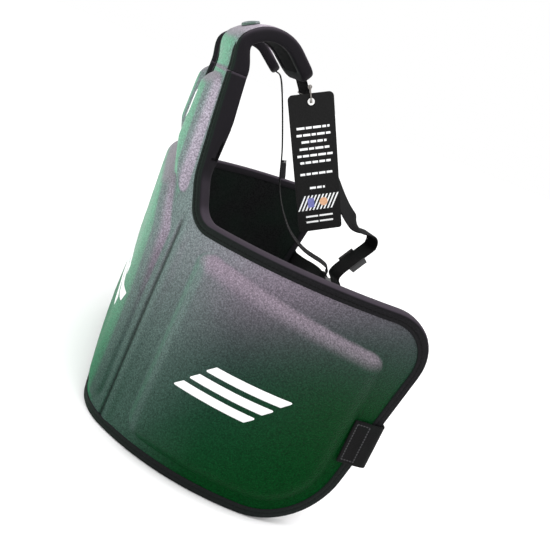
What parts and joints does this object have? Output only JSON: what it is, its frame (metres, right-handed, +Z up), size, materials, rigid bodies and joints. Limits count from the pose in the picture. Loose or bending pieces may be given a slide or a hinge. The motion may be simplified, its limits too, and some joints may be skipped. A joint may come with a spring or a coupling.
{
  "type": "chest protector",
  "caption": "Padded boxing chest protector: moulded chest panel, folding side wings, arched shoulder straps, webbing harness with side-release belt buckle, and hang tag.",
  "frame": {"origin": "middle of the chest panel's bottom edge, on which the object stands: on the middle plane and halfway through the panel's thickness", "axes": "+X towards the wearer's left, -Y out of the chest (front), +Z up along the body"},
  "size_m": [0.559, 0.2968, 0.4524],
  "materials": {
    "leather": "pebbled synthetic leather, satin",
    "foam": "closed-cell foam, matt",
    "lining": "brushed padded mesh",
    "binding": "textured edge strip with a stitch line",
    "webbing": "woven nylon",
    "plastic": "moulded, fine texture",
    "rubber": "soft moulded rubber",
    "label": "woven label",
    "string": "waxed cord",
    "eyelet": "smooth",
    "card": "coated card, printed"
  },
  "bodies": {
    "chest": {"chest_cover": "leather", "chest_foam": "foam", "chest_lining": "lining", "centre_pad_foam": "foam", "upper_pad_foam_left": "foam", "upper_pad_foam_right": "foam", "chest_binding": "binding"},
    "wing_left": {"wing_cover_left": "leather", "wing_foam_left": "foam", "wing_pad_foam_left": "foam", "wing_lining_left": "lining", "wing_binding_left": "binding", "belt_anchor_left": "webbing"},
    "wing_right": {"wing_cover_right": "leather", "wing_foam_right": "foam", "wing_pad_foam_right": "foam", "wing_lining_right": "lining", "wing_binding_right": "binding", "belt_anchor_right": "webbing"},
    "shoulder_left": {"shoulder_cover_left": "leather", "shoulder_foam_left": "foam", "shoulder_lining_left": "lining", "shoulder_binding_left": "binding", "shoulder_badge_left": "rubber", "strap_label_left": "label", "shoulder_webbing_left": "webbing", "tag_string_loop": "string"},
    "shoulder_right": {"shoulder_cover_right": "leather", "shoulder_foam_right": "foam", "shoulder_lining_right": "lining", "shoulder_binding_right": "binding", "shoulder_badge_right": "rubber", "strap_label_right": "label", "shoulder_webbing_right": "webbing"},
    "slider_left": {"shoulder_slider_left": "plastic"},
    "slider_right": {"shoulder_slider_right": "plastic"},
    "belt_left": {"belt_webbing_left": "webbing", "belt_loop_left": "webbing", "buckle_female": "plastic"},
    "belt_right": {"belt_webbing_right": "webbing", "belt_loop_right": "webbing", "buckle_male": "plastic"},
    "prong_upper": {"prong_upper": "plastic"},
    "prong_lower": {"prong_lower": "plastic"},
    "tag": {"tag_string": "string", "tag_eyelet": "eyelet", "hang_tag": "card"}
  },
  "joints": [
    {"name": "wing_left_swing", "type": "hinge", "parent": "chest", "child": "wing_left", "pos_m": [0.16687, 0.02529, 0.13], "axis": [0, -0.0698, -0.9976], "range_deg": [0, 35]},
    {"name": "wing_right_swing", "type": "hinge", "parent": "chest", "child": "wing_right", "pos_m": [-0.16687, 0.02529, 0.13], "axis": [0, 0.0698, 0.9976], "range_deg": [0, 35]},
    {"name": "belt_left_pivot", "type": "hinge", "parent": "wing_left", "child": "belt_left", "pos_m": [0.25309, 0.27722, 0.12], "axis": [0, 0.0698, 0.9976], "range_deg": [0, 35]},
    {"name": "belt_right_pivot", "type": "hinge", "parent": "wing_right", "child": "belt_right", "pos_m": [-0.25309, 0.27722, 0.12], "axis": [0, -0.0698, -0.9976], "range_deg": [0, 35]},
    {"name": "shoulder_left_fold", "type": "hinge", "parent": "chest", "child": "shoulder_left", "pos_m": [0.11147, 0.01929, 0.4], "axis": [0.9877, 0.1564, 0], "range_deg": [0, 30]},
    {"name": "shoulder_right_fold", "type": "hinge", "parent": "chest", "child": "shoulder_right", "pos_m": [-0.11147, 0.01929, 0.4], "axis": [0.9877, -0.1564, 0], "range_deg": [0, 30]},
    {"name": "slider_left_slide", "type": "slide", "parent": "shoulder_left", "child": "slider_left", "axis": [-0.201, 0.5884, 0.7832], "range_m": [-0.008, 0.008]},
    {"name": "slider_right_slide", "type": "slide", "parent": "shoulder_right", "child": "slider_right", "axis": [-0.0561, -0.3018, 0.9517], "range_m": [-0.008, 0.008]},
    {"name": "prong_upper_squeeze", "type": "hinge", "parent": "belt_right", "child": "prong_upper", "pos_m": [-0.025, 0.27722, 0.1685], "axis": [0, 1, 0], "range_deg": [0, 7], "stiffness_Nm_per_rad": 0.5},
    {"name": "prong_lower_squeeze", "type": "hinge", "parent": "belt_right", "child": "prong_lower", "pos_m": [-0.025, 0.27722, 0.1315], "axis": [0, -1, 0], "range_deg": [0, 7], "stiffness_Nm_per_rad": 0.5},
    {"name": "tag_swing", "type": "hinge", "parent": "shoulder_left", "child": "tag", "pos_m": [0.13559, 0.11305, 0.41347], "axis": [1, 0, 0], "range_deg": [-25, 20]}
  ],
  "couplings": [
    {"joint": "wing_right_swing", "follows": "wing_left_swing", "ratio": 1},
    {"joint": "belt_left_pivot", "follows": "wing_left_swing", "ratio": 1},
    {"joint": "belt_right_pivot", "follows": "wing_left_swing", "ratio": 1},
    {"joint": "prong_lower_squeeze", "follows": "prong_upper_squeeze", "ratio": 1}
  ]
}
